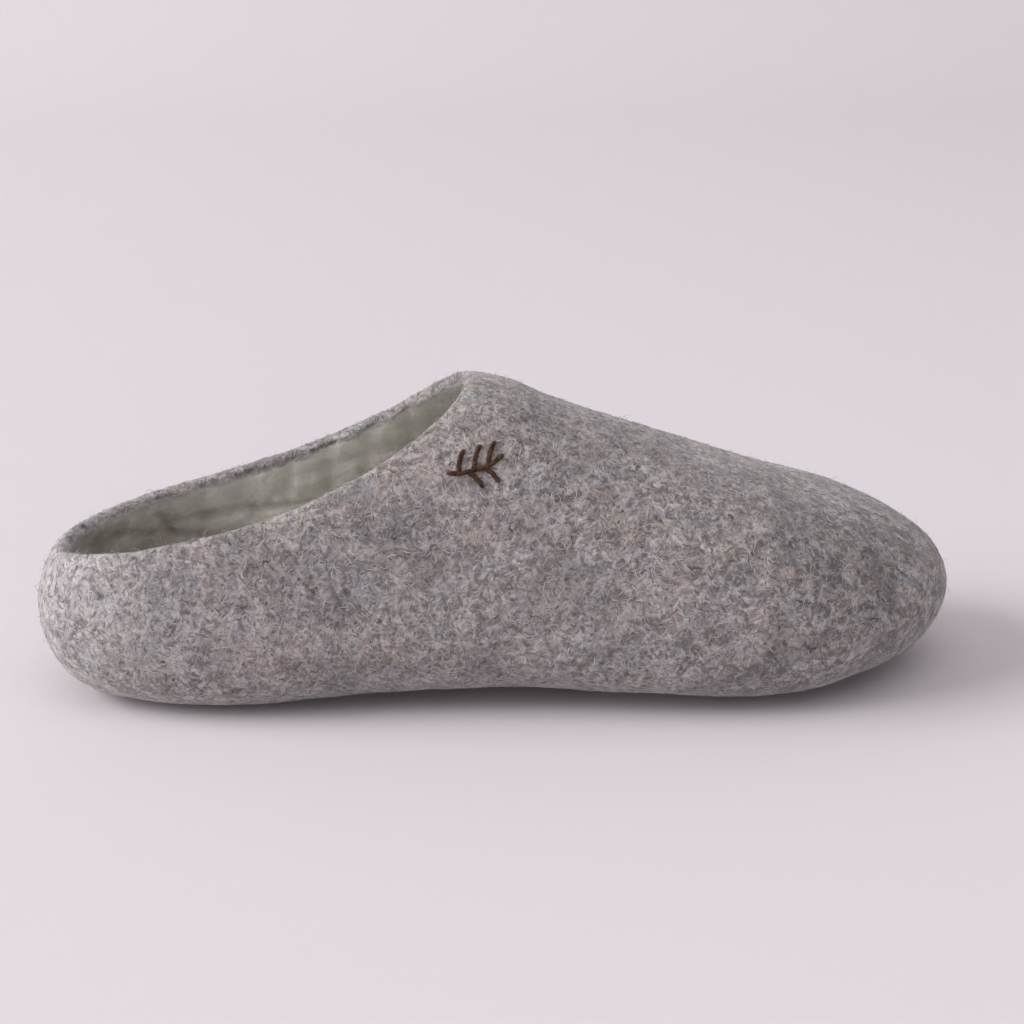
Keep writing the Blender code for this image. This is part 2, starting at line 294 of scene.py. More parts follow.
def marl(looks, tufts, clouds):
    """Ash wool mixed with pale, slate, bluish and brown fibres: darker at the toe, and paler at the heel with
    painted light.
    """
    dusky, frosted = looks.attribute("dusky"), looks.attribute("frosted")
    elsewhere = looks.turned((0.9, 0.5, 0.3))
    # Ash tufts, with clouds of sand, blue and umber.
    colour = looks.mix(looks.between(tufts, 0.32, 0.68), times(0.62, ASH), times(1.42, ASH))
    colour = looks.mix(looks.between(clouds, 0.40, 0.62) * 0.55, colour, SAND)
    blue = looks.noise(0.0044, detail=2.0, twist=0.8, place=elsewhere)
    colour = looks.mix(looks.between(blue, 0.56, 0.67) * 0.70, colour, BLUISH)
    colour = looks.mix(looks.between(blue, 0.45, 0.35) * 0.55, colour, UMBER)
    # Slate specks, and curling loops of slate and of pale wool.
    specks = looks.noise(0.0012, detail=2.0, roughness=0.6, twist=1.2, place=elsewhere)
    colour = looks.mix(looks.between(specks, 0.60, 0.70) * 0.80, colour, SLATE)
    dark_loops = swirls(looks, 0.0031, 5.5, elsewhere, 2.5)
    colour = looks.mix(dark_loops * looks.between(tufts, 0.64, 0.42) * 0.60, colour, SLATE)
    pale_loops = swirls(looks, 0.0028, 5.5, looks.place, 2.5)
    colour = looks.mix(pale_loops * looks.between(tufts, 0.36, 0.62) * 0.50, colour, PALE)
    # Single fibres.
    curled = looks.shaken(0.0020, 0.0030)
    dark_fibres = laid_fibres(looks, 0.00060, DARK_SLANTS, 0.63, 0.71, curled)
    colour = looks.mix(dark_fibres * 0.50, colour, DUSK)
    pale_fibres = laid_fibres(looks, 0.00045, PALE_SLANTS, 0.61, 0.70, curled)
    colour = looks.mix(pale_fibres * 0.34, colour, PALE)
    # Broad patches, dark tufts and pits, the last two stronger towards the toe.
    patches = looks.noise(0.0130, detail=1.0, place=elsewhere)
    colour = looks.mix(looks.between(patches, 0.56, 0.36) * 0.26, colour, SLATE)
    dark_tufts = looks.noise(0.0046, detail=2.0, twist=0.8, place=looks.turned((0.3, 0.6, 1.1)))
    colour = looks.mix(looks.between(dark_tufts, 0.53, 0.40) * (dusky * 0.40 + 0.18), colour, SLATE)
    pits = looks.noise(0.0024, detail=3.0, roughness=0.6, twist=0.5, place=elsewhere)
    colour = looks.mix(looks.between(pits, 0.48, 0.36) * (dusky * 0.40 + 0.36), colour, DUSK)
    # A few nearly black flecks, and frosty tufts at the heel that are partly painted light on the heel end.
    flecks = looks.noise(0.0022, detail=2.0, roughness=0.7, twist=1.5)
    colour = looks.mix(looks.between(flecks, 0.650, 0.690) * 0.75, colour, FLECK)
    return looks.mix(frosted * looks.between(tufts, 0.30, 0.60) * 0.34, colour, FROST_HIGHLIGHT)


def lining_wool(looks, clouds):
    """The lining's colour, and its relief about zero: mottled and wrinkled, with painted shade in its
    troughs, painted light below the rim, and brown at the heel from rubbed wear and painted shade.
    """
    soft = looks.noise(0.0042, detail=4.0, roughness=0.62)
    fine = looks.noise(0.0011, detail=2.0, roughness=0.6)
    lengthwise = looks.turned((0.0, -0.25, 0.0), (3.5, 1.0, 1.0))
    wrinkles = looks.noise(0.0038, detail=2.0, twist=0.6, place=lengthwise)
    colour = looks.mix(looks.between(soft, 0.32, 0.66), times(0.76, SAGE), times(1.18, SAGE))
    colour = looks.mix(looks.between(fine, 0.62, 0.34) * 0.22, colour, SAGE_DEEP)
    colour = looks.mix(looks.between(clouds, 0.56, 0.40) * 0.25, colour, SAGE_DEEP)
    # Painted shade: darker in the folds' troughs and in the wrinkles' troughs.
    colour = looks.mix(looks.attribute("hollow") * 0.35, colour, SAGE_DEEP)
    colour = looks.mix(looks.between(wrinkles, 0.48, 0.34) * 0.40, colour, SAGE_DEEP)
    # Rubbed brown wear and painted shade round the heel.
    rubbed_and_shaded = looks.attribute("worn") * looks.between(looks.noise(0.0050, detail=3.0), 0.10, 0.72)
    colour = looks.mix(rubbed_and_shaded * 0.90, colour, HEEL_BROWN_SHADE)
    clear_of_heel_shade = 1.0 - looks.attribute("worn")
    # Painted light: paler just below the rim, where no heel wear or shade is painted.
    colour = looks.mix(looks.attribute("rimward") * clear_of_heel_shade * 0.50, colour, SAGE_PALE)
    return colour, soft * 0.7 + wrinkles * 1.2 + fine * 0.4 - 1.15


def grey_felt():
    """Grey marl outside, pale green wool inside, and a ragged line between the two under the rim, with a
    painted highlight along the top of the rim.
    """
    looks = Looks("grey_felt")
    tufts = looks.noise(0.0014, detail=2.0, roughness=0.6, twist=0.8)
    clouds = looks.noise(0.0080, detail=2.0)
    lining, relief = lining_wool(looks, clouds)
    edge = looks.attribute("lining")
    ragged = (looks.noise(0.0022, detail=4.0, roughness=0.72) - 0.5) * 1.8
    inside = looks.between(edge + ragged, 0.25, 0.90)
    # A painted highlight: the top of the rim, where the grey turns inward, is paler.
    colour = looks.mix(edge * 0.85, marl(looks, tufts, clouds), FROST_HIGHLIGHT)
    colour = looks.mix(inside, colour, lining)
    rounded = looks.bump((tufts - 0.5) * (0.55 - inside * 0.35) + relief * inside, 0.0008, 0.65)
    return looks.finish(Base_Color=colour, Roughness=0.95, Normal=rounded, Sheen_Weight=0.35,
                        Sheen_Roughness=0.5, Specular_IOR_Level=0.15)


def green_felt():
    """The loose footbed's pale green felt, rubbed brown under the heel, with painted shade there too."""
    looks = Looks("green_felt")
    soft = looks.noise(0.0034, detail=4.0, roughness=0.65)
    clouds = looks.noise(0.0120, detail=2.0)
    colour = looks.mix(looks.between(soft, 0.34, 0.66), times(0.74, SAGE), times(1.02, SAGE))
    colour = looks.mix(looks.between(clouds, 0.56, 0.40) * 0.35, colour, SAGE_DEEP)
    # Rubbed brown wear and painted shade under the heel.
    colour = looks.mix(looks.attribute("worn") * looks.between(soft, 0.20, 0.60) * 0.6, colour, HEEL_BROWN_SHADE)
    fine = looks.noise(0.0012, detail=3.0, roughness=0.7, twist=1.0)
    rounded = looks.bump(soft + fine * 0.4, 0.0009, 0.7)
    return looks.finish(Base_Color=colour, Roughness=0.95, Normal=rounded, Sheen_Weight=0.25,
                        Specular_IOR_Level=0.15)


def fibre_wool(name):
    """Loose fibres whose colour differs from one to the next."""
    looks = Looks(name)
    stops = {"stops": FIBRE_TINTS[name]}
    ramp = looks.add("ShaderNodeValToRGB", stops, {"Fac": looks.attribute("tint")})
    return looks.finish(Base_Color=ramp, Roughness=0.85, Specular_IOR_Level=0.2, Sheen_Weight=0.1)


def brown_thread():
    """Dark brown wool thread with its twist showing."""
    looks = Looks("brown_thread")
    twist = looks.noise(0.0006, detail=2.0, place=looks.turned((0.0, -0.8, 0.0), (3.0, 1.0, 1.0)))
    colour = looks.mix(looks.between(twist, 0.35, 0.65), THREAD_DARK, THREAD_LIGHT)
    return looks.finish(Base_Color=colour, Roughness=0.8, Normal=looks.bump(twist, 0.0002),
                        Specular_IOR_Level=0.2)


def plain_cloth():
    """The pale floor."""
    looks = Looks("pale_cloth")
    return looks.finish(Base_Color=CLOTH, Roughness=0.9, Specular_IOR_Level=0.1)


def new_piece(name, mesh, finish=None):
    """An object at the origin with the mesh, and with one material where a finish is given."""
    piece = bpy.data.objects.new(name, mesh)
    bpy.context.scene.collection.objects.link(piece)
    if finish:
        mesh.materials.clear()
        mesh.materials.append(finish)
    return piece


def settle(piece):
    """The piece keeps the mesh that its modifiers make, and the modifiers go."""
    state = bpy.context.evaluated_depsgraph_get()
    mesh = bpy.data.meshes.new_from_object(piece.evaluated_get(state), depsgraph=state)
    old = piece.data
    piece.modifiers.clear()
    piece.data = mesh
    bpy.data.meshes.remove(old)


def seamless(work):
    """Felt the CAD's upper and sole together: close the gap between them and drop the faces inside it."""
    upper = [v for v in work.verts if v.tag]
    tree = KDTree(len(upper))
    for i, vert in enumerate(upper):
        tree.insert(vert.co, i)
    tree.balance()
    joined = {}
    for vert in work.verts:
        if not vert.tag:
            _, i, away = tree.find(vert.co)
            if away < FELTED_GAP:
                joined[vert] = upper[i]
    kept = set(joined.values())
    bmesh.ops.weld_verts(work, targetmap=joined)
    hidden = [face for face in work.faces if all(vert in kept for vert in face.verts)]
    bmesh.ops.delete(work, geom=hidden, context="FACES")
    bmesh.ops.recalc_face_normals(work, faces=work.faces)


def smooth_copy(nodes, name, levels):
    """Merged, quad-faced and subdivided copy of one CAD node's mesh, or of two that are felted together."""
    work = bmesh.new()
    for number, node in enumerate(nodes):
        first = len(work.verts)
        work.from_mesh(frame["nodes"][node].data)
        work.verts.ensure_lookup_table()
        for vert in work.verts[first:]:
            vert.tag = number == 0
    for tag in (True, False):
        tagged = [v for v in work.verts if v.tag == tag]
        bmesh.ops.remove_doubles(work, verts=tagged, dist=MERGE_DISTANCE)
    if len(nodes) > 1:
        seamless(work)
    bmesh.ops.join_triangles(work, faces=work.faces, angle_face_threshold=QUAD_FACE_ANGLE,
                             angle_shape_threshold=QUAD_SHAPE_ANGLE)
    mesh = bpy.data.meshes.new(name)
    work.to_mesh(mesh)
    work.free()
    piece = new_piece(name, mesh)
    refine = piece.modifiers.new("refine", "SUBSURF")
    refine.levels = refine.render_levels = levels
    settle(piece)
    piece.data.shade_smooth()
    return piece


def read(mesh, name):
    """The mesh's places or its normals, one row for each point."""
    values = np.empty(len(mesh.vertices) * 3, dtype=np.float32)
    if name == "normal":
        mesh.vertex_normals.foreach_get("vector", values)
    else:
        mesh.vertices.foreach_get(name, values)
    return values.reshape(-1, 3).astype(float)


def store(mesh, name, values):
    """A number or a direction kept for each point."""
    kind = "FLOAT" if values.ndim == 1 else "FLOAT_VECTOR"
    layer = mesh.attributes.new(name, kind, "POINT")
    layer.data.foreach_set("value" if values.ndim == 1 else "vector", values.astype(np.float32).ravel())


def smoothstep(value, low, high):
    """0 at low, 1 at high, and smooth between them, whichever is the larger."""
    share = np.clip((value - low) / (high - low), 0, 1)
    return share * share * (3 - 2 * share)


def unit(vectors):
    """The vectors made one long."""
    return vectors / np.maximum(np.linalg.norm(vectors, axis=-1, keepdims=True), 1e-9)


def noise_at(points, size, shift):
    """Smooth noise from about -1 to 1 at each point."""
    offset = Vector((shift, 2.7 * shift, 5.1 * shift))
    return np.array([noise.noise(Vector(p) / size + offset) for p in points])


# The felt's unevenness: how high its lumps stand, how wide they are, and where their noise starts.
Lumps = namedtuple("Lumps", "height size start")
BROAD_LUMPS = Lumps(0.00040, 0.022, 0.0)
SMALL_LUMPS = Lumps(0.00022, 0.0085, 1.0)
TUFT_LUMPS = Lumps(0.00010, 0.0036, 2.0)
LINING_LUMPS = Lumps(0.00036, 0.0064, 6.0)
INSOLE_WAVES = Lumps(0.00025, 0.014, 4.0)
INSOLE_LUMPS = Lumps(0.00012, 0.005, 5.0)


def lumpy(points, lumps, share=1.0):
    """How high the lumps stand at each point, where the share is 1."""
    return lumps.height * share * noise_at(points, lumps.size, lumps.start)


# Soft troughs (depth above 0) and ridges (below 0), placed on the shoe.
#   wall     which surface: outside, or inside
#   side     -1 for the wall towards the camera, 1 for the far wall, 0 for both
#   from_x   one end's distance from the heel, and from_z its height
#   to_x     the other end's distance from the heel, and to_z its height
#   width    distance from the middle line at which the form has faded out
#   depth    how far the felt is pushed in
Fold = namedtuple("Fold", "wall side from_x from_z to_x to_z width depth")
FOLDS = (
    Fold("outside", -1, 0.150, 0.084, 0.205, 0.020, 0.013, 0.0007),
    Fold("outside", 1, 0.148, 0.084, 0.200, 0.022, 0.014, 0.0009),
    Fold("outside", -1, 0.112, 0.070, 0.128, 0.018, 0.012, 0.0006),
    Fold("outside", 1, 0.108, 0.070, 0.124, 0.018, 0.012, 0.0008),
    Fold("outside", 0, 0.014, 0.036, 0.060, 0.033, 0.010, 0.0005),
    Fold("outside", -1, 0.070, 0.052, 0.104, 0.060, 0.009, -0.0005),
    Fold("inside", 1, 0.036, 0.050, 0.034, 0.016, 0.0032, 0.0010),
    Fold("inside", 1, 0.0335, 0.043, 0.0365, 0.037, 0.0022, 0.0015),
    Fold("inside", 1, 0.047, 0.055, 0.044, 0.022, 0.0040, 0.0004),
    Fold("inside", 1, 0.060, 0.058, 0.063, 0.016, 0.0046, 0.0007),
    Fold("inside", 1, 0.074, 0.064, 0.070, 0.026, 0.0034, 0.0005),
    Fold("inside", 1, 0.083, 0.070, 0.088, 0.020, 0.0042, 0.0009),
    Fold("inside", 1, 0.097, 0.074, 0.095, 0.030, 0.0040, 0.0006),
    Fold("inside", 1, 0.107, 0.080, 0.112, 0.024, 0.0038, 0.0007),
    Fold("inside", 1, 0.022, 0.038, 0.056, 0.033, 0.0034, 0.0008),
    Fold("inside", 1, 0.038, 0.040, 0.080, 0.044, 0.0026, 0.0010),
    Fold("inside", 1, 0.078, 0.054, 0.104, 0.062, 0.0036, 0.0005),
    Fold("inside", -1, 0.040, 0.042, 0.043, 0.016, 0.0036, 0.0007),
    Fold("inside", -1, 0.066, 0.050, 0.062, 0.018, 0.0042, 0.0008),
    Fold("inside", -1, 0.090, 0.060, 0.094, 0.020, 0.0040, 0.0007),
    Fold("inside", -1, 0.050, 0.034, 0.086, 0.040, 0.0034, 0.0005),
)


def fold_depth(points, inward, fold):
    """How far each point sinks into one fold."""
    start = np.array([HEEL + fold.from_x, fold.from_z])
    run = np.array([HEEL + fold.to_x, fold.to_z]) - start
    flat = points[:, (0, 2)]
    share = np.clip((flat - start) @ run / (run @ run), 0, 1)
    away = np.linalg.norm(flat - start - share[:, None] * run, axis=1)
    away += 0.25 * fold.width * noise_at(points, 0.012, 3.0)
    depth = fold.depth * (1 - smoothstep(away, 0.0, fold.width))
    if fold.side:
        depth *= smoothstep(points[:, 1] * fold.side, 0.0, 0.012)
    return depth * (inward if fold.wall == "inside" else 1 - inward)


def below_rim(points):
    """Each point's distance from the felt's upper edge, seen from the side."""
    places = np.linspace(HEEL, TOE, 400)
    step = places[1] - places[0]
    away = np.full(len(points), LENGTH)
    for x in places:
        top = np.max(points[np.abs(points[:, 0] - x) < step, 2], initial=0.0)
        away = np.minimum(away, np.hypot(points[:, 0] - x, points[:, 2] - top))
    return away


def heel_wear_and_shade(points):
    """How brown the lining is at the heel, from rubbed wear and painted shade: most of all low down round the
    heel.
    """
    deep = smoothstep(points[:, 2], *WORN_AND_SHADED_HEIGHT)
    near = smoothstep(points[:, 0] - HEEL, *WORN_AND_SHADED_FROM_HEEL)
    return np.clip(near * (0.60 + 0.75 * deep) + 0.10 * deep, 0, 1)


def felt_body():
    """The seamless felt, from collar to underside, inside and out."""
    body = smooth_copy((UPPER_NODE, SOLE_NODE), "felt_body", 2)
    mesh = body.data
    points, normals = read(mesh, "co"), read(mesh, "normal")
    spine = np.stack([np.clip(points[:, 0], SPINE_BACK, SPINE_FRONT), 0 * points[:, 0],
                      np.full(len(points), SPINE_HEIGHT)], -1)
    facing = np.sum(normals * unit(points - spine), axis=1)
    inward = smoothstep(-facing, 0.0, 0.5)
    lumps = lumpy(points, BROAD_LUMPS) + lumpy(points, SMALL_LUMPS)
    lumps += lumpy(points, TUFT_LUMPS) + lumpy(points, LINING_LUMPS, inward)
    hollow = np.zeros(len(points))
    sink = np.zeros(len(points))
    for fold in FOLDS:
        depth = fold_depth(points, inward, fold)
        sink += depth
        if fold.wall == "inside":
            hollow = np.maximum(hollow, depth / DARKEST_FOLD)
    free = smoothstep(points[:, 2], *UNEVEN_HEIGHT)
    moved = points + normals * ((lumps - sink) * free)[:, None]
    moved[:, 2] = np.maximum(moved[:, 2], 0.0)
    mesh.vertices.foreach_set("co", moved.astype(np.float32).ravel())
    mesh.update()
    drop = below_rim(points)
    from_heel = points[:, 0] - HEEL
    frosted = smoothstep(from_heel, *LIT_FROST_FROM_HEEL) * smoothstep(points[:, 2], *LIT_FROST_HEIGHT)
    store(mesh, "lining", smoothstep(-facing, -0.25, 0.30) * smoothstep(drop, *LINED_BELOW_RIM))
    # Painted light: how much paler the lining is just below the rim.
    store(mesh, "rimward", smoothstep(drop, *LIT_BELOW_RIM))
    # Painted shade in the lining's folds.
    store(mesh, "hollow", np.clip(hollow, 0, 1))
    # Rubbed brown wear and painted shade round the heel.
    store(mesh, "worn", heel_wear_and_shade(points))
    store(mesh, "dusky", smoothstep(from_heel, *DUSKY_FROM_HEEL))
    # Frosty tufts at the heel, partly painted light on the heel end.
    store(mesh, "frosted", frosted)
    return body, points, normals, inward, facing


# Kinds of curled fibre that are scattered over the felt and the thread.
#   kinds      how many differently curled ones there are
#   length     from end to end along the curl
#   thickness  in the middle
#   curl       how far it bends, in radians
#   wave       how far it waves up and down at each step
#   flat       its height against its breadth
#   seed       where its random numbers start
Strand = namedtuple("Strand", "kinds length thickness curl wave flat seed")
STRANDS = {
    "fuzz": Strand(16, 0.0038, 0.00022, 2.6, 0.00006, 0.40, 100),
    "nap": Strand(12, 0.0021, 0.00012, 1.8, 0.00010, 1.0, 200),
    "hair": Strand(12, 0.0070, 0.00010, 3.2, 0.00030, 1.0, 300),
    "wisp": Strand(4, 0.0022, 0.00012, 1.4, 0.00006, 1.0, 400),
}


def strand_mesh(name, strand, seed):
    """One closed three-sided fibre that lies along X, curls in the XY plane and is flattened in Z."""
    draw = random.Random(seed)
    steps, sides = 5, 3
    bend = draw.uniform(0.4, 1.0) * strand.curl * draw.choice((-1, 1))
    heading = -bend / 2
    path = [Vector((0, 0, 0))]
    for k in range(steps):
        heading += bend / steps
        bend += draw.uniform(-0.4, 0.4) * strand.curl
        step = strand.length / steps
        rise = strand.wave * math.sin(math.pi * (k + 0.5) / steps * draw.choice((1, 2)))
        path.append(path[-1] + Vector((math.cos(heading) * step, math.sin(heading) * step, rise)))
    middle = sum(path, Vector()) / len(path)
    path = [p - middle for p in path]
    work = bmesh.new()
    rings = []
    for k in range(1, steps):
        along = (path[k + 1] - path[k - 1]).normalized()
        side = along.cross(Vector((0, 0, 1))).normalized()
        up = side.cross(along)
        radius = strand.thickness / 2 * (1.0 if 1 < k < steps - 1 else 0.8)
        ring = []
        for corner in range(sides):
            angle = 2 * math.pi * corner / sides + math.pi / 2
            out = math.cos(angle) * side + strand.flat * math.sin(angle) * up
            ring.append(work.verts.new(path[k] + radius * out))
        rings.append(ring)
    ends = work.verts.new(path[0]), work.verts.new(path[-1])
    for first, second in zip(rings, rings[1:]):
        for corner in range(sides):
            after = (corner + 1) % sides
            work.faces.new((first[corner], first[after], second[after], second[corner]))
    for corner in range(sides):
        after = (corner + 1) % sides
        work.faces.new((rings[0][after], rings[0][corner], ends[0]))
        work.faces.new((rings[-1][corner], rings[-1][after], ends[1]))
    bmesh.ops.recalc_face_normals(work, faces=work.faces)
    for face in work.faces:
        face.smooth = True
    mesh = bpy.data.meshes.new(name)
    work.to_mesh(mesh)
    work.free()
    return mesh


def strand_set(name):
    """A few differently curled fibres for scattering."""
    group = bpy.data.collections.new(name)
    for k in range(STRANDS[name].kinds):
        label = f"{name}_{k}"
        mesh = strand_mesh(label, STRANDS[name], STRANDS[name].seed + k)
        group.objects.link(bpy.data.objects.new(label, mesh))
    return group


class Tree:
    """A geometry node tree under construction."""

    def __init__(self, name):
        self.tree = bpy.data.node_groups.new(name, "GeometryNodeTree")
        self.identifiers = {}

    def socket(self, name, kind, direction="INPUT"):
        made = self.tree.interface.new_socket(name, in_out=direction, socket_type=kind)
        self.identifiers[name] = made.identifier

    def named(self, name, kind="FLOAT"):
        """An attribute of the surface."""
        return self.add("GeometryNodeInputNamedAttribute", {"data_type": kind}, {"Name": name}).outputs[0]

    def drawn(self, low, high, seed):
        """A random number for each fibre."""
        inputs = {2: low, 3: high, "Seed": seed}
        return self.add("FunctionNodeRandomValue", {"data_type": "FLOAT"}, inputs).outputs[1]

    def product(self, first, second):
        return self.add("ShaderNodeMath", {"operation": "MULTIPLY"}, {0: first, 1: second}).outputs[0]

    def turned(self, rotation, axis, angle):
        """The rotation with a turn about one of its own axes."""
        turn = self.add("FunctionNodeAxisAngleToRotation", {}, {"Axis": axis, "Angle": angle}).outputs[0]
        both = self.add("FunctionNodeRotateRotation", {"rotation_space": "LOCAL"}, {0: rotation, 1: turn})
        return both.outputs[0]

    def add(self, kind, settings, inputs):
        node = self.tree.nodes.new(kind)
        for key, value in settings.items():
            setattr(node, key, value)
        for key, value in inputs.items():
            if isinstance(value, bpy.types.NodeSocket):
                self.tree.links.new(value, node.inputs[key])
            else:
                node.inputs[key].default_value = value
        return node


def scatter_tree(group, finish):
    """Strands laid on a surface: combed along its flow where it is combed, and turned at random elsewhere."""
    build = Tree("scatter_" + group.name)
    build.socket("Geometry", "NodeSocketGeometry")
    for name in ("Density", "Smallest", "Largest", "Tilt", "Lift"):
        build.socket(name, "NodeSocketFloat")
    build.socket("Seed", "NodeSocketInt")
    build.socket("Geometry", "NodeSocketGeometry", "OUTPUT")
    given = build.add("NodeGroupInput", {}, {}).outputs

    # Spots on the surface, as dense as its nap, lifted or sunk a little.
    dense = build.product(build.named("nap"), given["Density"])
    where = {"Mesh": given["Geometry"], "Density": dense, "Seed": given["Seed"]}
    spots = build.add("GeometryNodeDistributePointsOnFaces", {}, where).outputs
    inputs = {0: spots["Normal"], "Scale": given["Lift"]}
    away = build.add("ShaderNodeVectorMath", {"operation": "SCALE"}, inputs).outputs[0]
    inputs = {"Geometry": spots["Points"], "Offset": away}
    lifted = build.add("GeometryNodeSetPosition", {}, inputs).outputs[0]

    # Each fibre lies along the flow, spins less the more it is combed, and leans out of the surface.
    flow = build.named("flow", "FLOAT_VECTOR")
    inputs = {"Rotation": spots["Rotation"], "Factor": 1.0, "Vector": flow}
    laid = build.add("FunctionNodeAlignRotationToVector", {"axis": "X", "pivot_axis": "Z"}, inputs).outputs[0]
    inputs = {0: build.named("combed"), 1: -0.82, 2: 1.0}
    loose = build.add("ShaderNodeMath", {"operation": "MULTIPLY_ADD"}, inputs).outputs[0]
    laid = build.turned(laid, (0, 0, 1), build.product(build.drawn(-math.pi, math.pi, 11), loose))
    laid = build.turned(laid, (0, 1, 0), build.product(build.drawn(-1.0, 1.0, 12), given["Tilt"]))

    # One strand of the set at each spot, in its own size and tint.
    inputs = {"Collection": group, "Separate Children": True, "Reset Children": True}
    strands = build.add("GeometryNodeCollectionInfo", {}, inputs).outputs[0]
    size = build.drawn(given["Smallest"], given["Largest"], 13)
    inputs = {4: 0, 5: len(group.objects) - 1, "Seed": 14}
    which = build.add("FunctionNodeRandomValue", {"data_type": "INT"}, inputs).outputs[2]
    inputs = {"Points": lifted, "Instance": strands, "Pick Instance": True, "Instance Index": which,
              "Rotation": laid, "Scale": size}
    strewn = build.add("GeometryNodeInstanceOnPoints", {}, inputs).outputs[0]
    inputs = {"Geometry": strewn, "Name": "tint", "Value": build.drawn(0.0, 1.0, 15)}
    settings = {"data_type": "FLOAT", "domain": "INSTANCE"}
    tinted = build.add("GeometryNodeStoreNamedAttribute", settings, inputs).outputs[0]
    real = build.add("GeometryNodeRealizeInstances", {}, {"Geometry": tinted}).outputs[0]
    done = build.add("GeometryNodeSetMaterial", {}, {"Geometry": real, "Material": finish}).outputs[0]
    build.add("NodeGroupOutput", {}, {"Geometry": done})
    return build


# The loose fibres.
#   name      the piece
#   where     the part of the surface that they lie on
#   count     how many there are, nearly
#   strands   the kind of curled fibre
#   wool      the kind of colour
#   seed      where their random places start
#   smallest  and largest: their sizes against the strand's own
#   tilt      how far they lean out of the surface, in degrees
#   lift      how far they lie above the surface, or below it where it is below 0
#   slot      a material's name, given in each row
Fibres = namedtuple("Fibres", "name where count strands wool seed smallest largest tilt lift slot")
FELT_FIBRES = (
    Fibres("pale_fibres", "outside", 7000, "fuzz", "pale_fibre", 1, 0.5, 1.25, 5, -0.00001, "grey_felt"),
    Fibres("mixed_fibres", "outside", 6000, "fuzz", "mixed_fibre", 2, 0.6, 1.3, 5, -0.00001, "grey_felt"),
    Fibres("dark_fibres", "outside", 6500, "fuzz", "dark_fibre", 3, 0.45, 1.15, 5, -0.00003, "grey_felt"),
    Fibres("lining_fibres", "inside", 2500, "fuzz", "green_fibre", 4, 0.4, 1.1, 8, 0.0, "green_felt"),
    Fibres("short_nap", "napped", 8000, "nap", "pale_fibre", 6, 0.4, 1.2, 38, 0.0, "grey_felt"),
    Fibres("stray_hairs", "hairy", 2600, "hair", "straying_fibre", 5, 0.25, 1.0, 60, 0.0001, "grey_felt"),
)
THREAD_FIBRES = Fibres("thread_fluff", "thread", 650, "wisp", "thread_wisp", 7, 0.4, 1.2, 25, 0.0,
                       "grey_felt")


def scattered(fibres, host, cover, group, finish):
    """A piece of loose fibres over the host, thicker where the cover is higher."""
    piece = new_piece(fibres.name, host.data.copy())
    mesh = piece.data
    store(mesh, "nap", cover)
    corners = np.empty(len(mesh.loops), dtype=np.int32)
    mesh.loops.foreach_get("vertex_index", corners)
    starts = np.empty(len(mesh.polygons), dtype=np.int32)
    mesh.polygons.foreach_get("loop_start", starts)
    areas = np.empty(len(mesh.polygons), dtype=np.float32)
    mesh.polygons.foreach_get("area", areas)
    sizes = np.diff(np.append(starts, len(corners)))
    covered = float(np.sum(areas * np.add.reduceat(cover[corners], starts) / sizes))
    build = scatter_tree(group, finish)
    strew = piece.modifiers.new("strew", "NODES")
    strew.node_group = build.tree
    values = {"Density": fibres.count / covered, "Smallest": fibres.smallest, "Largest": fibres.largest,
              "Tilt": math.radians(fibres.tilt), "Lift": fibres.lift}
    for key, value in values.items():
        strew[build.identifiers[key]] = value
    strew[build.identifiers["Seed"]] = fibres.seed
    settle(piece)
    piece.data.materials.clear()
    piece.data.materials.append(finish)
    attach(piece, "root")


def felt_fibres(body, points, normals, inward, facing):
    """All loose fibres that lie on the felt, clear of the floor, with the nap thickest over the rim."""
    level = np.stack([-normals[:, 1], normals[:, 0], 0 * normals[:, 0]], -1)
    level = unit(level + np.array([1e-4, 0, 0]))
    store(body.data, "flow", level)
    low_edge = 1 - smoothstep(points[:, 2], *COMBED_UP_TO)
    store(body.data, "combed", np.clip(low_edge * (1 - inward), 0, 1))
    above = smoothstep(points[:, 2], *FIBRES_HEIGHT)
    cover = {"outside": (1 - inward) * above, "inside": inward * above}
    over_rim = 1 + 6 * smoothstep(np.abs(facing), 0.75, 0.35)
    cover["napped"] = cover["outside"] * smoothstep(points[:, 2], *NAP_HEIGHT) * over_rim
    cover["hairy"] = cover["napped"] * smoothstep(points[:, 2], *HAIRS_HEIGHT)
    strands = {name: strand_set(name) for name in ("fuzz", "nap", "hair")}
    wools = {name: fibre_wool(name) for name in sorted({fibres.wool for fibres in FELT_FIBRES})}
    for fibres in FELT_FIBRES:
        scattered(fibres, body, cover[fibres.where], strands[fibres.strands], wools[fibres.wool])


def insole():
    """The loose footbed, gently uneven on top."""
    piece = smooth_copy((INSOLE_NODE,), "insole_felt", 1)
    mesh = piece.data
    points, normals = read(mesh, "co"), read(mesh, "normal")
    upper = smoothstep(normals[:, 2], 0.2, 0.9)
    bumps = lumpy(points, INSOLE_WAVES) + lumpy(points, INSOLE_LUMPS)
    points += normals * (bumps * upper)[:, None]
    mesh.vertices.foreach_set("co", points.astype(np.float32).ravel())
    mesh.update()
    # Rubbed brown wear and painted shade under the heel.
    store(mesh, "worn", 0.7 * smoothstep(points[:, 0] - HEEL, *INSOLE_WORN_AND_SHADED_FROM_HEEL))
    mesh.materials.clear()
    mesh.materials.append(green_felt())
    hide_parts(INSOLE_NODE)
    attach(piece, "root")


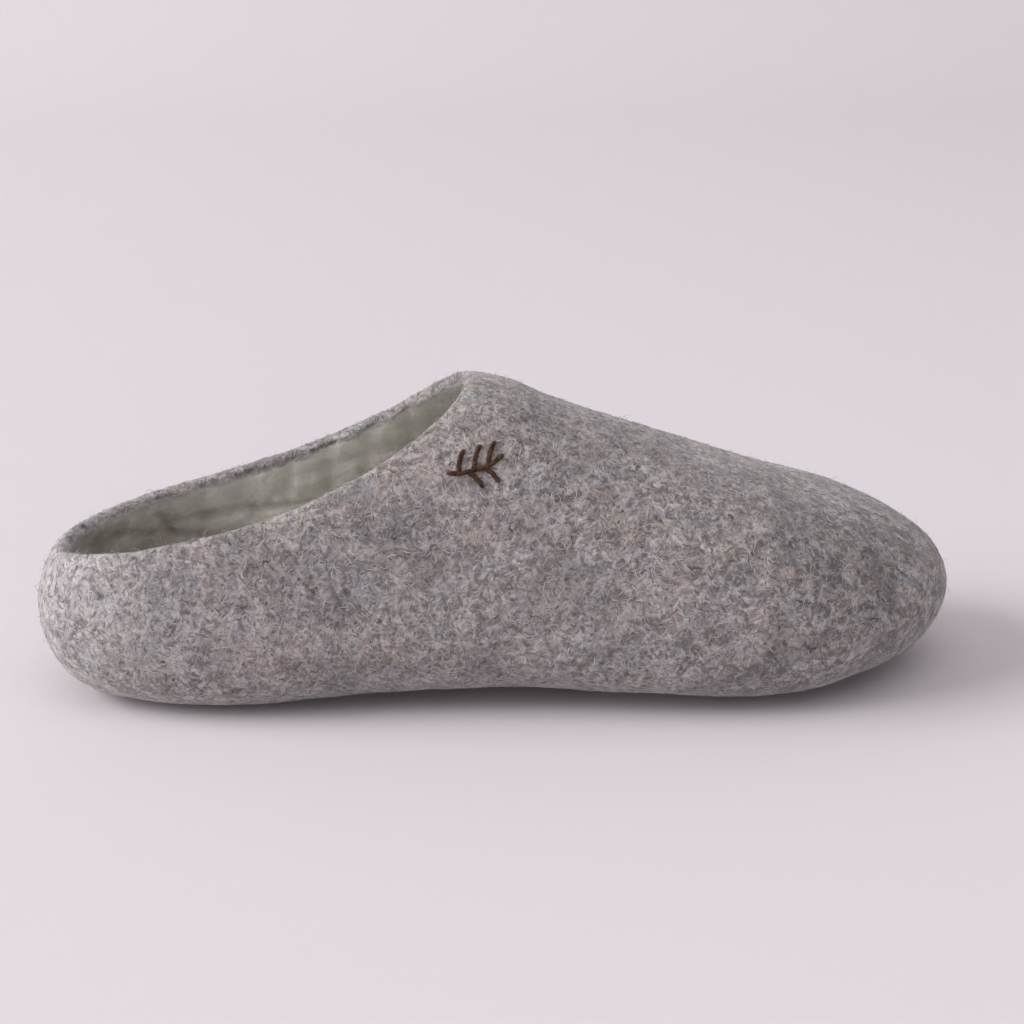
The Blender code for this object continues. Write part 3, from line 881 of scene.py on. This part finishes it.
def thread_tube(work, path, normals):
    """A closed six-sided thread along a path, thinner where it dives into the felt."""
    sides = 6
    rings = []
    for k, spot in enumerate(path):
        along = (path[min(k + 1, len(path) - 1)] - path[max(k - 1, 0)]).normalized()
        side = along.cross(normals[k]).normalized()
        up = side.cross(along)
        thin = THREAD_RADIUS * (0.7 if k in (0, len(path) - 1) else 1.0)
        ring = []
        for corner in range(sides):
            angle = 2 * math.pi * corner / sides
            ring.append(work.verts.new(spot + thin * (math.cos(angle) * side + math.sin(angle) * up)))
        rings.append(ring)
    for first, second in zip(rings, rings[1:]):
        for corner in range(sides):
            after = (corner + 1) % sides
            work.faces.new((first[corner], first[after], second[after], second[corner]))
    work.faces.new(rings[0][::-1])
    work.faces.new(rings[-1])


# The stitches of the sprig, in millimetres on the felt: from (x, z) to (x, z) round the sprig's middle,
# and how far the thread bows to one side on its way.
Stitch = namedtuple("Stitch", "from_x from_z to_x to_z bow")
STITCHES = (
    Stitch(-8.0, -2.6, 0.6, -1.4, -0.5),
    Stitch(-0.6, -1.7, 7.8, 1.9, -0.7),
    Stitch(-4.7, -2.3, -3.0, 3.2, 0.5),
    Stitch(-2.6, -2.0, 1.7, -6.0, 0.4),
    Stitch(-0.5, -1.5, 1.6, 4.3, 0.5),
    Stitch(1.6, -0.9, 6.2, -4.6, 0.4),
    Stitch(3.5, -0.2, 5.6, 5.0, 0.4),
)


def stitched_sprig(body):
    """A plain sprig in brown wool thread on the side of the vamp."""
    surface = BVHTree.FromObject(body, bpy.context.evaluated_depsgraph_get())
    work = bmesh.new()
    for stitch in STITCHES:
        path, normals = [], []
        run, rise = stitch.to_x - stitch.from_x, stitch.to_z - stitch.from_z
        reach = math.hypot(run, rise)
        for k in range(STITCH_STEPS + 1):
            share = k / STITCH_STEPS
            bow = stitch.bow * math.sin(math.pi * share)
            x = HEEL + MARK_FROM_HEEL + 0.001 * (stitch.from_x + run * share - bow * rise / reach)
            z = MARK_HEIGHT + 0.001 * (stitch.from_z + rise * share + bow * run / reach)
            spot, normal, _, _ = surface.ray_cast(Vector((x, -0.2, z)), Vector((0, 1, 0)))
            height = THREAD_RADIUS * (THREAD_RISE * math.sin(math.pi * share) ** 0.6 - THREAD_DIVE)
            path.append(spot + normal * height)
            normals.append(normal)
        thread_tube(work, path, normals)
    bmesh.ops.recalc_face_normals(work, faces=work.faces)
    for face in work.faces:
        face.smooth = True
    mesh = bpy.data.meshes.new("stitched_sprig")
    work.to_mesh(mesh)
    work.free()
    piece = new_piece("stitched_sprig", mesh, brown_thread())
    spots = len(mesh.vertices)
    store(mesh, "flow", np.tile((1.0, 0.0, 0.0), (spots, 1)))
    store(mesh, "combed", np.zeros(spots))
    wool = fibre_wool(THREAD_FIBRES.wool)
    scattered(THREAD_FIBRES, piece, np.ones(spots), strand_set(THREAD_FIBRES.strands), wool)
    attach(piece, "root")


def backdrop():
    """A floor that sweeps up behind the slipper and, farther off, in front of it."""
    work = bmesh.new()
    half, rise = 9.0, 2.5
    # Where it starts to bend upwards, in front and behind, and the radius of each bend.
    front, sweep = -4.0, 5.0
    back, bend = 1.1, 0.5
    steps = 12
    turns = [math.pi / 2 * k / steps for k in range(steps + 1)]
    profile = [(front - sweep * math.sin(turn), sweep * (1 - math.cos(turn))) for turn in reversed(turns)]
    profile += [(back + bend * math.sin(turn), bend * (1 - math.cos(turn))) for turn in turns]
    profile.append((back + bend, rise))
    rows = [[work.verts.new((x, y, z)) for x in (-half, half)] for y, z in profile]
    for first, second in zip(rows, rows[1:]):
        work.faces.new((first[0], first[1], second[1], second[0]))
    for face in work.faces:
        face.smooth = True
    mesh = bpy.data.meshes.new("backdrop")
    work.to_mesh(mesh)
    work.free()
    new_piece("backdrop", mesh, plain_cloth())


# The soft lights: where each stands, what it faces, its width, its power in watts and its colour.
Light = namedtuple("Light", "name place aim size power colour")
LIGHTS = (
    Light("window", (-5.5, -0.5, 2.9), (0, 0, 0), 4.3, 425.0, (1.0, 0.99, 0.985)),
    Light("low_front", (0.3, -2.6, 0.60), (0.05, 0, 0.01), 1.0, 8.5, (1.0, 0.98, 0.985)),
    Light("ceiling", (0.2, -0.9, 2.2), (0, 0, 0), 2.4, 16.0, (1.0, 0.98, 0.98)),
)
ROOM_COLOUR = (1.0, 0.965, 0.99, 1)
ROOM_STRENGTH = 0.35


def studio():
    """The soft lights, and the even light of the room."""
    for light in LIGHTS:
        data = bpy.data.lights.new(light.name, "AREA")
        data.size = light.size
        data.energy = light.power
        data.color = light.colour
        lamp = bpy.data.objects.new(light.name, data)
        bpy.context.scene.collection.objects.link(lamp)
        lamp.location = light.place
        lamp.rotation_euler = (Vector(light.aim) - Vector(light.place)).to_track_quat("-Z", "Y").to_euler()
    world = bpy.data.worlds.new("studio")
    world.use_nodes = True
    world.node_tree.nodes["Background"].inputs["Color"].default_value = ROOM_COLOUR
    world.node_tree.nodes["Background"].inputs["Strength"].default_value = ROOM_STRENGTH
    bpy.context.scene.world = world
    bpy.context.scene.view_settings.view_transform = "Standard"


def camera():
    """A camera at the photograph's angle, without depth of field."""
    data = bpy.data.cameras.new("camera")
    data.lens = CAMERA_LENS
    data.sensor_width = 36.0
    data.clip_start = 0.05
    data.clip_end = 20.0
    cam = bpy.data.objects.new("camera", data)
    bpy.context.scene.collection.objects.link(cam)
    cam.location = (CAMERA_DISTANCE * math.sin(CAMERA_AZIMUTH),
                    -CAMERA_DISTANCE * math.cos(CAMERA_AZIMUTH), CAMERA_HEIGHT)
    cam.rotation_euler = (AIM - cam.location).to_track_quat("-Z", "Y").to_euler()
    bpy.context.scene.camera = cam


def main():
    camera()
    studio()
    backdrop()
    body, points, normals, inward, facing = felt_body()
    body.data.materials.clear()
    body.data.materials.append(grey_felt())
    stitched_sprig(body)
    felt_fibres(body, points, normals, inward, facing)
    insole()
    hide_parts(UPPER_NODE, SOLE_NODE)
    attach(body, "root")


main()
